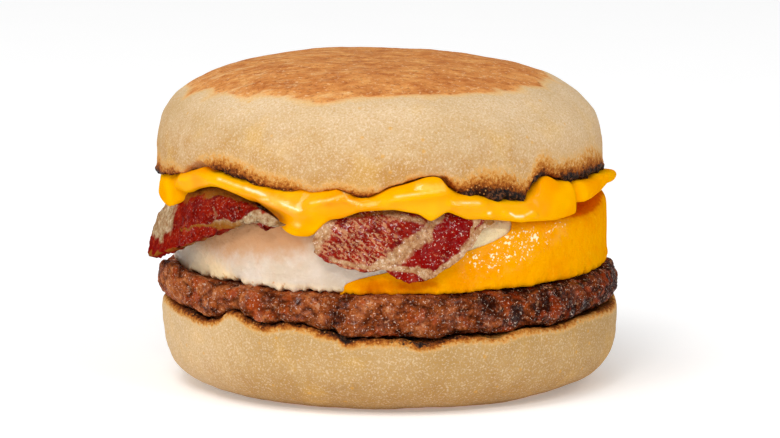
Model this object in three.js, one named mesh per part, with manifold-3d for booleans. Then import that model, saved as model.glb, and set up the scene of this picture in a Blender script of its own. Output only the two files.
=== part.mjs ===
// Breakfast sandwich: a split and toasted muffin round a sausage patty, a ring-cooked egg,
// two rashers of back bacon and two melted cheese slices.
// Millimetres, +Z up. The origin is the middle of the flat underside, and the front faces -Y.
// Angles are degrees round the sandwich: 0 at the front, growing towards +X.
import * as THREE from 'three';
import { mergeVertices } from 'three/addons/utils/BufferGeometryUtils.js';
import Module from 'manifold-3d';

// Air left between neighbours, the air that a cut leaves round another piece,
// and how finely the round pieces are turned
const GAP = 0.4;
const CUT_GAP = 0.3;
const COLUMNS = 60;
const FRONT_BIAS = 17;

// Muffin heel: a flat foot, a wall that curves out from it, and a toasted upper edge.
// Each bump of an edge is [angle of its middle, half-width in degrees, height].
const HEEL_RADIUS = 50.6;
const FOOT_RADIUS = 38.5;
const FOOT_CURVE = 3.1;
const HEEL_TOP = 17;
const HEEL_EDGE = 18;
const HEEL_LIP = 3.6;
const HEEL_BUMPS = [
  [-77, 17, 1.8], [-42, 5, 3.6], [-25, 7, 2.2], [7, 10, -1.7], [28, 5, -1.6],
  [105, 14, 1.2], [146, 9, -1.3], [178, 12, 1.4], [-150, 10, -1.1], [-118, 9, 1.5],
];

// Sausage patty: a lumpy disc a little wider than the egg
const PATTY_SHIFT = -0.5;
const PATTY_RADIUS = 50.6;
const PATTY_BOTTOM = HEEL_TOP + GAP;
const PATTY_TOP = 26.8;
const PATTY_CURL = [-70, 16, 3.0];

// Egg: a ring-cooked disc whose yolk has spread to the right-hand side
const EGG_RADIUS = 47.8;
const EGG_BOTTOM = PATTY_TOP + GAP;
const EGG_TOP = 42.2;
const EGG_ROUND = 3;
const YOLK_MIDDLE = new THREE.Vector2(40, -22);
const YOLK_HALF_WIDTH = [57, 15.5];
const YOLK_HALF_DEPTH = [52, 40];
const YOLK_SLOPE = [28, 40];

// Bacon: each rasher lies on the egg, rises over its rim and hangs down in front.
// A free edge is a list of [angle, height, radius], from the rasher's left side to its right.
const RASHER_HALF = 0.9;
const RASHER_LEVEL = EGG_TOP + GAP + RASHER_HALF;
const LEFT_RASHER = {
  rim: [-70, -38],
  back: [-114, -157],
  crest: [45.0, -51, 12, 2.4],
  shoulder: 50.4,
  edge: [
    [-84, 30, 53.1], [-79, 28.9, 53.2], [-68, 31.2, 52.9], [-57, 34.6, 52.2],
    [-43, 39.2, 51.6], [-34.5, 41.7, 52.0], [-29, 41.2, 52.6], [-25.5, 42.2, 52.7],
  ],
};
const FRONT_RASHER = {
  rim: [-15.5, 22],
  back: [-164, -201],
  crest: [44.4, 0, 14, 0.6],
  shoulder: 49.3,
  edge: [
    [-19, 38, 50.4], [-17.5, 35.2, 50.8], [-12, 33.2, 51.0], [-6, 32.2, 51.0],
    [-1.5, 32.7, 50.8], [3, 30.4, 51.0], [8, 30.3, 51.0], [14, 32.8, 50.8],
    [20, 36.6, 50.3], [22.5, 39.8, 49.9], [26.5, 42, 49.6],
  ],
};

// Muffin crown: an upright wall that rounds over to a flat toasted top
const CROWN_SHIFT = -2.2;
const CROWN_RADIUS = 49.4;
const CROWN_UNDER = 49.8;
const CROWN_WIDEST = 52;
const CROWN_TOP = 72;
const CROWN_DOME = 0.4;
const CROWN_FLAT_RADIUS = 5.3;
const CROWN_SQUARENESS = 2.6;
const CROWN_TILT = 0.01;
const CROWN_EDGE = 49.2;
const CROWN_LIP = [44.5, 48.2];
const CROWN_BUMPS = [
  [-89, 18, -2.7], [-49, 11, 2.7], [-4, 4, -1.7], [12, 7, 3.7], [37, 13, -3.4],
  [46, 5, 4.8], [65, 5, -1.2], [88, 8, -1.6], [118, 10, 1.3], [141, 9, -1.8],
  [166, 8, 1.2], [-170, 9, -1.6], [-146, 10, 1.5], [-122, 8, -0.9],
];

// Cheese: two square slices. Each edge reaches out past the layers below and droops there.
const CHEESE_HALF = 1.1;
const CHEESE_CURL = 2.8;
const CHEESE_TUCKED = 42.4;
const LOWER_MIDDLE = RASHER_LEVEL + RASHER_HALF + GAP + CHEESE_HALF;
const UPPER_REACH = [[-60, 54, 3, 8.5], [124, 160, 7, 7.2], [-146, -112, 7, 7.0]];
const UPPER_EDGE = 43.2;
const UPPER_BUMPS = [
  [-50, 16, 4.7], [-23, 6, -3.2], [-3, 8, 2.4], [12, 5, 1.3], [40, 8, -3.1],
  [142, 12, -1.2], [-128, 13, -0.8],
];
const LOWER_REACH = [[-104, -62, 4, 9.4], [58, 90, 6, 8.8], [156, 186, 8, 6.6]];
const LOWER_EDGE = 44.6;
const LOWER_BUMPS = [[-80, 14, -3.3], [168, 14, -1.8]];
const LOWER_LIFT = [[78, 14, 1.7]];

const wasm = await Module();
wasm.setup();

const { degToRad, lerp, smoothstep } = THREE.MathUtils;

// Signed difference of two angles, between -180 and 180 degrees
function apart(angle, middle) {
  return ((angle - middle + 540) % 360 + 360) % 360 - 180;
}

// Height that a list of round bumps adds at an angle
function bumps(angle, list) {
  return list.reduce((sum, [middle, width, height]) => {
    return sum + height * Math.exp(-((apart(angle, middle) / width) ** 2));
  }, 0);
}

// Sum of [from, to, softness, amount] stretches that cover an angle
function stretches(angle, list) {
  return list.reduce((sum, [from, to, soft, amount]) => {
    const offset = Math.abs(apart(angle, (from + to) / 2));
    const half = (to - from) / 2;
    return sum + amount * (1 - smoothstep(offset, half - soft, half + soft));
  }, 0);
}

// Slow unevenness round a hand-made disc
function uneven(angle, amount, seed) {
  const turn = degToRad(angle);
  return amount * (Math.sin(3 * turn + seed) + 0.7 * Math.sin(5 * turn + 2.3 * seed)
    + 0.5 * Math.sin(8 * turn + 3.1 * seed));
}

function polar(angle, radius, height) {
  const turn = degToRad(angle);
  return new THREE.Vector3(radius * Math.sin(turn), -radius * Math.cos(turn), height);
}

// Merges shared corners and drops the triangles that close up at a pole
function welded(geometry) {
  geometry.deleteAttribute('uv');
  geometry.deleteAttribute('normal');
  const merged = mergeVertices(geometry);
  const old = merged.index.array;
  const kept = [];
  for (let i = 0; i < old.length; i += 3) {
    const [a, b, c] = [old[i], old[i + 1], old[i + 2]];
    if (a !== b && b !== c && c !== a) kept.push(a, b, c);
  }
  merged.setIndex(kept);
  merged.computeVertexNormals();
  return merged;
}

// A turned disc whose every point is placed by its row and its angle.
// The rows run from the middle of the underside, round the rim, to the middle of the top.
function turned(rowCount, place) {
  const profile = Array.from({ length: rowCount }, (_, row) => new THREE.Vector2(1, row));
  const geometry = new THREE.LatheGeometry(profile, COLUMNS);
  const position = geometry.attributes.position;
  for (let column = 0; column <= COLUMNS; column++) {
    const turn = (column % COLUMNS) * 360 / COLUMNS;
    const angle = turn - FRONT_BIAS * Math.sin(degToRad(turn));
    for (let row = 0; row < rowCount; row++) {
      const point = place(row, angle);
      position.setXYZ(column * rowCount + row, point.x, point.y, point.z);
    }
  }
  return welded(geometry);
}

// A thin solid on a grid: both faces are split into triangles alike, and a wall joins them.
// Its border is pushed out by spread.
function sheet(columns, rows, half, spread, place) {
  const grid = new THREE.PlaneGeometry(1, 1, columns, rows);
  const wide = columns + 1;
  const count = wide * (rows + 1);
  const middle = [];
  for (let i = 0; i < count; i++) {
    middle.push(place((i % wide) / columns, Math.floor(i / wide) / rows));
  }
  const pushOut = (edge, inner) => {
    const away = middle[edge].clone().sub(middle[inner]).normalize();
    middle[edge].addScaledVector(away, spread);
  };
  for (let row = 0; row <= rows; row++) {
    pushOut(row * wide, row * wide + 1);
    pushOut(row * wide + columns, row * wide + columns - 1);
  }
  for (let column = 0; column <= columns; column++) {
    pushOut(column, column + wide);
    pushOut(rows * wide + column, (rows - 1) * wide + column);
  }
  const positions = new Float32Array(count * 6);
  for (let i = 0; i < count; i++) {
    const column = i % wide;
    const row = Math.floor(i / wide);
    const left = middle[i - (column > 0 ? 1 : 0)];
    const right = middle[i + (column < columns ? 1 : 0)];
    const before = middle[i - (row > 0 ? wide : 0)];
    const after = middle[i + (row < rows ? wide : 0)];
    const normal = after.clone().sub(before).cross(right.clone().sub(left)).normalize();
    middle[i].clone().addScaledVector(normal, half).toArray(positions, i * 3);
    middle[i].clone().addScaledVector(normal, -half).toArray(positions, (count + i) * 3);
  }
  const face = Array.from(grid.index.array);
  const index = [];
  for (let i = 0; i < face.length; i += 3) {
    const [a, b, c] = face.slice(i, i + 3);
    index.push(a, b, c, count + a, count + c, count + b);
  }
  const border = [];
  for (let column = 0; column < columns; column++) border.push(column);
  for (let row = 0; row < rows; row++) border.push(row * wide + columns);
  for (let column = columns; column > 0; column--) border.push(rows * wide + column);
  for (let row = rows; row > 0; row--) border.push(row * wide);
  border.forEach((a, i) => {
    const b = border[(i + 1) % border.length];
    index.push(a, b, count + a, b, count + b, count + a);
  });
  const geometry = new THREE.BufferGeometry();
  geometry.setAttribute('position', new THREE.BufferAttribute(positions, 3));
  geometry.setIndex(index);
  geometry.computeVertexNormals();
  return geometry;
}

function toSolid(geometry) {
  return new wasm.Manifold(new wasm.Mesh({
    numProp: 3,
    vertProperties: Float32Array.from(geometry.attributes.position.array),
    triVerts: Uint32Array.from(geometry.index.array),
  }));
}

// The largest body of a solid, as a geometry
function toGeometry(solid) {
  const bodies = solid.decompose();
  const main = bodies.reduce((best, body) => (body.volume() > best.volume() ? body : best));
  const mesh = main.getMesh();
  const geometry = new THREE.BufferGeometry();
  geometry.setAttribute('position', new THREE.BufferAttribute(mesh.vertProperties, 3));
  geometry.setIndex(Array.from(mesh.triVerts));
  geometry.computeVertexNormals();
  return geometry;
}

// Muffin heel

function heelEdge(angle) {
  return HEEL_EDGE + bumps(angle, HEEL_BUMPS);
}

function heelWall(height) {
  return HEEL_RADIUS - (HEEL_RADIUS - FOOT_RADIUS) * Math.exp(-height / FOOT_CURVE);
}

function heelGeometry() {
  const wallHeights = [0, 0.7, 1.8, 3.4, 5.6, 8.8, 12.5];
  const first = 1;
  return turned(wallHeights.length + 7, (row, angle) => {
    const edge = heelEdge(angle);
    const step = row - first - wallHeights.length;
    if (row === 0) return polar(angle, 0, 0);
    if (step < 0) {
      const height = wallHeights[row - first];
      return polar(angle, heelWall(height) + uneven(angle, height * 0.02, 1), height);
    }
    const lip = [
      [HEEL_RADIUS, edge - 1.6],
      [HEEL_RADIUS - 0.5, edge - 0.3],
      [HEEL_RADIUS - 1.5, edge],
      [HEEL_RADIUS - HEEL_LIP, lerp(edge, HEEL_TOP, 0.35)],
      [HEEL_RADIUS - 2 * HEEL_LIP, HEEL_TOP],
      [0, HEEL_TOP],
    ];
    const [radius, height] = lip[step];
    return polar(angle, radius + (step < 4 ? uneven(angle, 0.25, 1) : 0), height);
  });
}

// Sausage patty

function pattyGeometry() {
  return turned(13, (row, angle) => {
    const bottom = Math.max(PATTY_BOTTOM, heelEdge(angle) + GAP);
    const curl = bumps(angle, [PATTY_CURL]);
    const lumps = uneven(angle, 0.3, 4) + 0.4 * Math.sin(degToRad(13 * angle + 70 * row));
    const profile = [
      [0, PATTY_BOTTOM],
      [HEEL_RADIUS - 2 * HEEL_LIP - 1, PATTY_BOTTOM],
      [HEEL_RADIUS - HEEL_LIP, bottom],
      [PATTY_RADIUS - 1.2, bottom + 0.3],
      [PATTY_RADIUS - 0.3, bottom + 1.6],
      [PATTY_RADIUS, 22.4],
      [PATTY_RADIUS - 0.2 + curl * 0.2, 24.2 + curl * 0.6],
      [PATTY_RADIUS - 0.9 + curl * 0.25, 25.6 + curl],
      [PATTY_RADIUS - 1.6 + curl * 0.1, 26.2 + curl],
      [PATTY_RADIUS - 2.5, 26.4 + curl * 0.2],
      [PATTY_RADIUS - 4.6, PATTY_TOP],
      [PATTY_RADIUS - 10, PATTY_TOP],
      [0, PATTY_TOP],
    ];
    const [radius, height] = profile[row];
    const onRim = row > 2 && row < 9;
    const point = polar(angle, radius + (onRim ? lumps : 0), height);
    point.x += radius > 0 ? PATTY_SHIFT : 0;
    return point;
  });
}

// Egg white and yolk

function eggDisc() {
  const corner = [20, 45, 70];
  const rows = 6 + corner.length;
  return turned(rows, (row, angle) => {
    const wobble = uneven(angle, 0.2, 2);
    const profile = [
      [0, EGG_BOTTOM],
      [EGG_RADIUS - 1.2, EGG_BOTTOM],
      [EGG_RADIUS - 0.2, EGG_BOTTOM + 0.9],
      [EGG_RADIUS, EGG_TOP - EGG_ROUND],
      ...corner.map((turn) => [
        EGG_RADIUS - EGG_ROUND * (1 - Math.cos(degToRad(turn))),
        EGG_TOP - EGG_ROUND * (1 - Math.sin(degToRad(turn))),
      ]),
      [EGG_RADIUS - EGG_ROUND, EGG_TOP],
      [0, EGG_TOP],
    ];
    const [radius, height] = profile[row];
    return polar(angle, radius + (radius > 0 ? wobble : 0), height);
  });
}

// The room that the spread yolk takes: wide at the bottom, drawn in to the right at the top
function yolkRoom(grow) {
  const levels = [24, 27, 29, 31, 33, 35, 37, 39, 41, 45];
  return turned(levels.length + 2, (row, angle) => {
    const level = THREE.MathUtils.clamp(row - 1, 0, levels.length - 1);
    const height = levels[level] + grow;
    const narrowing = smoothstep(levels[level], YOLK_SLOPE[0], YOLK_SLOPE[1]);
    const open = row === 0 || row === levels.length + 1 ? 0 : 1;
    const turn = degToRad(angle);
    const halfWidth = lerp(YOLK_HALF_WIDTH[0], YOLK_HALF_WIDTH[1], narrowing) + grow;
    const halfDepth = lerp(YOLK_HALF_DEPTH[0], YOLK_HALF_DEPTH[1], narrowing) + grow;
    return new THREE.Vector3(
      YOLK_MIDDLE.x + open * halfWidth * Math.sin(turn),
      YOLK_MIDDLE.y - open * halfDepth * Math.cos(turn),
      height,
    );
  });
}

// Bacon

// The middle surface of a rasher: across is 0 at its left side and 1 at its right side,
// along is 0 at the hidden back end and 1 at the free edge in front.
function rasherPoint(rasher, edgeCurve, across, along) {
  const rimAngle = lerp(...rasher.rim, across);
  const backAngle = lerp(...rasher.back, across);
  const [crestLevel, crestMiddle, crestWidth, crestRise] = rasher.crest;
  const crest = crestLevel + bumps(rimAngle, [[crestMiddle, crestWidth, crestRise]]);
  const ripple = 0.25 * Math.sin(across * 5 * Math.PI);
  const [edgeAngle, edgeHeight, edgeRadius] = edgeCurve.getPoint(across).toArray();
  const back = polar(backAngle, EGG_RADIUS - 0.8, RASHER_LEVEL - 0.3);
  const rim = polar(rimAngle, EGG_RADIUS - 4.5, lerp(RASHER_LEVEL, crest, 0.3));
  const path = new THREE.CatmullRomCurve3([
    back,
    back.clone().lerp(rim, 0.08).setZ(RASHER_LEVEL),
    back.clone().lerp(rim, 0.88).setZ(RASHER_LEVEL),
    rim,
    polar(rimAngle, EGG_RADIUS - 1.2, crest),
    polar(lerp(rimAngle, edgeAngle, 0.3), rasher.shoulder + ripple,
      lerp(crest, edgeHeight, 0.34) - 0.4),
    polar(lerp(rimAngle, edgeAngle, 0.7), lerp(rasher.shoulder, edgeRadius, 0.6) + ripple,
      lerp(crest, edgeHeight, 0.7)),
    polar(edgeAngle, edgeRadius, edgeHeight),
  ], false, 'centripetal');
  return path.getPoint(along);
}

function rasherGeometry(rasher, grow = 0) {
  const edgeCurve = new THREE.CatmullRomCurve3(
    rasher.edge.map(([angle, height, radius]) => new THREE.Vector3(angle, height, radius)),
  );
  const columns = 12;
  const rows = 18;
  return sheet(columns, rows, RASHER_HALF + grow, grow, (across, along) => {
    return rasherPoint(rasher, edgeCurve, across, along);
  });
}

// Muffin crown

function crownEdge(angle) {
  return CROWN_EDGE + bumps(angle, CROWN_BUMPS);
}

// The lowest that the underside of the crown comes near a place in plan
function crownUnderside(x, y) {
  const radius = Math.hypot(x - CROWN_SHIFT, y);
  const angle = THREE.MathUtils.radToDeg(Math.atan2(x - CROWN_SHIFT, -y));
  const edge = Math.min(...[-4, -2, 0, 2, 4].map((aside) => crownEdge(angle + aside)));
  return lerp(CROWN_UNDER, edge, smoothstep(radius, ...CROWN_LIP));
}

function crownGeometry() {
  const shoulder = [9, 20, 33, 46, 58, 70, 82];
  const lower = 8;
  return turned(lower + shoulder.length + 1, (row, angle) => {
    const edge = crownEdge(angle);
    const profile = [
      [0, CROWN_UNDER],
      [34, CROWN_UNDER],
      [CROWN_LIP[0], CROWN_UNDER],
      [46.3, lerp(CROWN_UNDER, edge, 0.48)],
      [CROWN_LIP[1], edge],
      [CROWN_RADIUS - 0.4, edge + 0.5],
      [CROWN_RADIUS, edge + 1.8],
      [CROWN_RADIUS, Math.max(edge + 2.6, CROWN_WIDEST + 1.2)],
      ...shoulder.map((turn) => {
        const power = 2 / CROWN_SQUARENESS;
        const out = Math.cos(degToRad(turn)) ** power;
        const up = Math.sin(degToRad(turn)) ** power;
        return [
          lerp(CROWN_FLAT_RADIUS, CROWN_RADIUS, out),
          lerp(CROWN_WIDEST, CROWN_TOP, up) + CROWN_DOME * (1 - out),
        ];
      }),
      [0, CROWN_TOP + CROWN_DOME],
    ];
    const [radius, height] = profile[row];
    const wobble = row > lower && radius > 0 ? uneven(angle, 0.15, 3) : 0;
    const point = polar(angle, radius + wobble, height);
    if (row > lower) point.z -= CROWN_TILT * point.x;
    point.x += CROWN_SHIFT;
    return point;
  });
}

// Cheese

// A slice that lies flat on the layer below and curls down over the rim, or up where it lifts.
// level gives its middle height in plan, reach its edge's radius, low its edge's lowest point.
function sliceGeometry(level, reach, low, lift, grow = 0) {
  const half = CHEESE_HALF + grow;
  const flat = [0, 0.6, 0.91, 0.96, 1];
  const curl = [40, 90];
  const cap = [60, 120];
  const rows = 2 * (flat.length + curl.length) + cap.length;
  return turned(rows, (row, angle) => {
    const edgeRadius = reach(angle) - CHEESE_HALF;
    const start = edgeRadius - CHEESE_CURL;
    const [inner, outer] = [start, edgeRadius].map((radius) => polar(angle, radius, 0));
    const startHeight = Math.min(level(inner.x, inner.y), level(outer.x, outer.y));
    const endHeight = Math.min(low(angle) + CHEESE_HALF, startHeight) + lift(angle);
    const side = flat.length + curl.length;
    const onCap = row >= side && row < side + cap.length;
    const mirrored = row < side ? row : rows - 1 - row;
    const sign = row < side ? -1 : 1;
    const step = mirrored - flat.length;
    if (!onCap && step < 0) {
      const radius = flat[mirrored] * start;
      const spot = polar(angle, radius, 0);
      const height = step === -1 ? startHeight : level(spot.x, spot.y);
      return polar(angle, radius, height + sign * half);
    }
    const bend = degToRad(onCap ? 90 : curl[step]);
    const steep = smoothstep(startHeight - endHeight, 0, CHEESE_CURL);
    const lean = bend * steep;
    const radius = lerp(start, edgeRadius, Math.sin(bend));
    const height = lerp(endHeight, startHeight, Math.cos(bend));
    const turn = onCap ? degToRad(cap[row - side]) : 0;
    const along = onCap ? half * Math.sin(turn) : 0;
    const across = onCap ? -half * Math.cos(turn) : sign * half;
    return polar(
      angle,
      radius + along * Math.cos(lean) + across * Math.sin(lean),
      height - along * Math.sin(lean) + across * Math.cos(lean),
    );
  });
}

function upperSlice(grow = 0) {
  const level = (x, y) => crownUnderside(x, y) - GAP - CHEESE_HALF;
  const reach = (angle) => CHEESE_TUCKED + stretches(angle, UPPER_REACH);
  const low = (angle) => {
    const hanging = stretches(angle, UPPER_REACH.map(([from, to, soft]) => [from, to, soft, 1]));
    return lerp(CROWN_UNDER, UPPER_EDGE + bumps(angle, UPPER_BUMPS), Math.min(hanging, 1));
  };
  return sliceGeometry(level, reach, low, () => 0, grow);
}

function lowerSlice() {
  const level = () => LOWER_MIDDLE;
  const reach = (angle) => CHEESE_TUCKED + stretches(angle, LOWER_REACH);
  const low = (angle) => LOWER_EDGE + bumps(angle, LOWER_BUMPS);
  return sliceGeometry(level, reach, low, (angle) => bumps(angle, LOWER_LIFT));
}

// The sandwich, from the bottom up

const sandwich = new THREE.Group();

function addPiece(name, geometry, color, roughness) {
  const material = new THREE.MeshStandardMaterial({ color, roughness, metalness: 0 });
  const mesh = new THREE.Mesh(geometry, material);
  mesh.name = name;
  sandwich.add(mesh);
}

const egg = toSolid(eggDisc());
const yolk = egg.intersect(toSolid(yolkRoom(0)));
const white = egg.subtract(toSolid(yolkRoom(GAP)));
const grownRashers = toSolid(rasherGeometry(LEFT_RASHER, CUT_GAP))
  .add(toSolid(rasherGeometry(FRONT_RASHER, CUT_GAP)));
const grownUpper = toSolid(upperSlice(CUT_GAP + 0.1));
const upper = toSolid(upperSlice()).subtract(grownRashers);
const lower = toSolid(lowerSlice()).subtract(grownRashers).subtract(grownUpper);

addPiece('muffin_heel', heelGeometry(), 0xd9b784, 0.9);
addPiece('sausage_patty', pattyGeometry(), 0x7a4126, 0.6);
addPiece('egg_white', toGeometry(white), 0xf0e2cf, 0.5);
addPiece('egg_yolk', toGeometry(yolk), 0xf9a80f, 0.35);
addPiece('bacon_left', rasherGeometry(LEFT_RASHER), 0x9c3f2e, 0.4);
addPiece('bacon_front', rasherGeometry(FRONT_RASHER), 0x9a3a30, 0.4);
addPiece('cheese_lower', toGeometry(lower), 0xf5b006, 0.3);
addPiece('cheese_upper', toGeometry(upper), 0xfab604, 0.3);
addPiece('muffin_crown', crownGeometry(), 0xdfbe8f, 0.9);

export default sandwich;
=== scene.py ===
# Breakfast sandwich: a split and toasted muffin round a sausage patty, a ring-cooked egg,
# two rashers of back bacon and two melted cheese slices.
# Sizes are in millimetres where no line says otherwise. Angles are degrees round the
# sandwich, 0 at the front and growing towards the right-hand side.
import math

import bpy
import numpy as np
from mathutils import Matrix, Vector


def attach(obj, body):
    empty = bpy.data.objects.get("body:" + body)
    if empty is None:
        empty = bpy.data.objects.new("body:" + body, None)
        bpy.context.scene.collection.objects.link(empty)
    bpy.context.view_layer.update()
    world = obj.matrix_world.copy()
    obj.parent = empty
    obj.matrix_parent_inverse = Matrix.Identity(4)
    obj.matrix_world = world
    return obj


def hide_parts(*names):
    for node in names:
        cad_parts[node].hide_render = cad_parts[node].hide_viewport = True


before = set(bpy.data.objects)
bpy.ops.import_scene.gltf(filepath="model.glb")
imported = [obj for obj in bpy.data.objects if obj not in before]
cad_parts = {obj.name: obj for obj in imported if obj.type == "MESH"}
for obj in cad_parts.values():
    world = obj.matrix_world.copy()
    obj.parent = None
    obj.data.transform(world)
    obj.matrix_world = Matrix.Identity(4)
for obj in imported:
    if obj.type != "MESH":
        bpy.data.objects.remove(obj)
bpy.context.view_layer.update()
MM = 0.001


# Studio: a wide white floor under an even white sky, four soft lamps in front, the strongest
# of them high on the left, and a camera far off behind a long lens, which looks down a
# little on the sandwich. Its places and widths are in metres.

FLOOR_WIDTH = 12.0
FLOOR_GLOW = 0.22
SKY = 0.43
CAMERA_AT = (0.0, -1.1859, 0.2194)
AIMED_AT = (0.0, 0.0, 0.0358)
LENS = 249.2


def srgb(red, green, blue):
    """The light values of a colour that a screen shows as 0 to 255."""
    screen = np.array([red, green, blue]) / 255
    light = np.where(screen > 0.04045, ((screen + 0.055) / 1.055) ** 2.4, screen / 12.92)
    return (*light.tolist(), 1.0)


def turned_towards(place, target):
    """The turn that points a lamp or a camera at a target."""
    return (Vector(target) - Vector(place)).to_track_quat("-Z", "Y").to_euler()


def lamp(name, place, width, height, power):
    """A soft white lamp, in metres and watts, that points at the sandwich."""
    bpy.ops.object.light_add(type="AREA", location=place)
    made = bpy.context.object
    made.name = name
    made.rotation_euler = turned_towards(place, AIMED_AT)
    made.data.shape = "RECTANGLE"
    made.data.size = width
    made.data.size_y = height
    made.data.energy = power


class Value:
    """The output of a node, which can be added, taken away and multiplied."""

    def __init__(self, finish, socket):
        self.finish = finish
        self.socket = socket

    def maths(self, operation, first, second):
        settings = {"operation": operation}
        return self.finish.node("ShaderNodeMath", "Value", settings, {0: first, 1: second})

    def __add__(self, other):
        return self.maths("ADD", self, other)

    def __sub__(self, other):
        return self.maths("SUBTRACT", self, other)

    def __rsub__(self, other):
        return self.maths("SUBTRACT", other, self)

    def __mul__(self, other):
        return self.maths("MULTIPLY", self, other)

    __radd__ = __add__
    __rmul__ = __mul__


class Finish:
    """A procedural material. node() adds any node, and the rest add the usual ones. How
    light soaks into it is given by its share, its reach in each colour, and its scale."""

    def __init__(self, name, constants, soaked=()):
        self.material = bpy.data.materials.new(name)
        self.material.use_nodes = True
        self.tree = self.material.node_tree
        self.shader = self.tree.nodes["Principled BSDF"]
        light = zip(("Subsurface Weight", "Subsurface Radius", "Subsurface Scale"), soaked)
        for socket, value in [*constants.items(), *light]:
            self.shader.inputs[socket].default_value = value
        self.place = self.node("ShaderNodeTexCoord", "Object")

    def feed(self, made, name, value):
        """Fill one socket of a node with a number, a screen colour or a node's output."""
        if isinstance(name, int):
            socket = made.inputs[name]
        else:
            socket = next(s for s in made.inputs if s.enabled and s.name == name)
        if isinstance(value, Value):
            self.tree.links.new(value.socket, socket)
        elif socket.type == "RGBA":
            socket.default_value = srgb(*value)
        else:
            socket.default_value = value

    def node(self, kind, output, settings=None, sockets=None):
        """Add a node, give it its settings, then fill its sockets, and return one output."""
        made = self.tree.nodes.new(kind)
        for name, value in (settings or {}).items():
            if name == "stops":
                for index, (place, colour) in enumerate(value):
                    stops = made.color_ramp.elements
                    stop = stops[index] if index < 2 else stops.new(place)
                    stop.position = place
                    stop.color = srgb(*colour)
            else:
                setattr(made, name, value)
        for name, value in (sockets or {}).items():
            self.feed(made, name, value)
        return Value(self, next(s for s in made.outputs if s.enabled and s.name == output))

    def measure(self, name):
        """A number that the mesh carries at its points."""
        return self.node("ShaderNodeAttribute", "Fac", {"attribute_name": name})

    def scattered(self, size, seed, stretch):
        """The place on the piece counted in lumps of a size, which a stretch lengthens."""
        return self.node("ShaderNodeMapping", "Vector", {}, {
            "Vector": self.place, "Scale": tuple(1 / (MM * size * s) for s in stretch),
            "Location": (seed, 2 * seed, 3 * seed)})

    def grain(self, size, detail=2, rough=0.5, seed=0.0, stretch=(1, 1, 1)):
        """Smooth noise, 0 to 1, with lumps of a size."""
        return self.node("ShaderNodeTexNoise", "Fac", {}, {
            "Vector": self.scattered(size, seed, stretch), "Scale": 1.0, "Detail": detail,
            "Roughness": rough})

    def cells(self, size, seed):
        """Distance from the middles of scattered cells of a size."""
        return self.node("ShaderNodeTexVoronoi", "Distance", {}, {
            "Vector": self.scattered(size, seed, (1, 1, 1)), "Scale": 1.0})

    def level(self, value, low, high, start=0.0, end=1.0):
        """A value that eases from start, at low, to end, at high."""
        return self.node("ShaderNodeMapRange", "Result", {"interpolation_type": "SMOOTHSTEP"}, {
            "Value": value, "From Min": low, "From Max": high, "To Min": start, "To Max": end})

    def flecks(self, low, high, *noise):
        """A mask of the places where a noise, given as for grain, goes from low to high."""
        return self.level(self.grain(*noise), low, high)

    def mix(self, mask, first, second):
        """Two colours mixed by a mask."""
        return self.node("ShaderNodeMix", "Result", {"data_type": "RGBA"}, {
            "Factor": mask, "A": first, "B": second})

    def paint(self, colour, *coats):
        """A colour with others laid over it in turn, each coat a mask and a colour."""
        for mask, coat in coats:
            colour = self.mix(mask, colour, coat)
        return colour

    def ramp(self, value, stops):
        """A colour read from (place, colour) stops."""
        return self.node("ShaderNodeValToRGB", "Color", {"stops": stops}, {"Fac": value})

    def cover(self, piece, colour, roughness, height, wet=0.0):
        """Feed the shader, with the height of the relief, and give the finish to a piece."""
        self.feed(self.shader, "Base Color", colour)
        self.feed(self.shader, "Coat Weight", wet)
        self.feed(self.shader, "Roughness", roughness)
        self.feed(self.shader, "Normal", self.node("ShaderNodeBump", "Normal", {}, {
            "Strength": 1.0, "Distance": MM, "Height": height}))
        piece.data.materials.clear()
        piece.data.materials.append(self.material)


scene = bpy.context.scene
scene.view_settings.view_transform = "Standard"
scene.world = bpy.data.worlds.new("studio_sky")
scene.world.use_nodes = True
sky = scene.world.node_tree.nodes["Background"]
sky.inputs["Color"].default_value = (1, 1, 1, 1)
sky.inputs["Strength"].default_value = SKY
bpy.ops.object.select_all(action="DESELECT")
bpy.ops.mesh.primitive_plane_add(size=FLOOR_WIDTH)
floor = bpy.context.object
floor.name = "floor"
paper = Finish("floor_paper", {"Specular IOR Level": 0.0, "Emission Color": (1, 1, 1, 1),
                               "Emission Strength": FLOOR_GLOW})
paper_tone = paper.mix(paper.grain(40), (249, 249, 249), (251, 251, 251))
paper.cover(floor, paper_tone, 0.9, paper.grain(30) * 0.002)

lamp("key_lamp", (-0.85, -1.7, 2.7), 1.5, 1.5, 37)
lamp("fill_lamp", (1.8, -2.0, 2.2), 1.4, 1.4, 18)
lamp("side_lamp", (-2.3, -1.1, 0.8), 1.0, 1.0, 11)
lamp("strip_lamp", (-0.35, -2.6, 1.75), 1.1, 0.22, 22)
bpy.ops.object.camera_add(location=CAMERA_AT, rotation=turned_towards(CAMERA_AT, AIMED_AT))
camera = bpy.context.object
camera.data.sensor_width = 36.0
camera.data.lens = LENS
camera.data.clip_end = 100.0
scene.camera = camera


# Muffin heel: the lower half of a yeast muffin, griddled dough dusted with flour, which
# stands on its flat foot. It is turned as one closed body, and the toasted crumb stands up
# raggedly round its upper edge.

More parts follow.
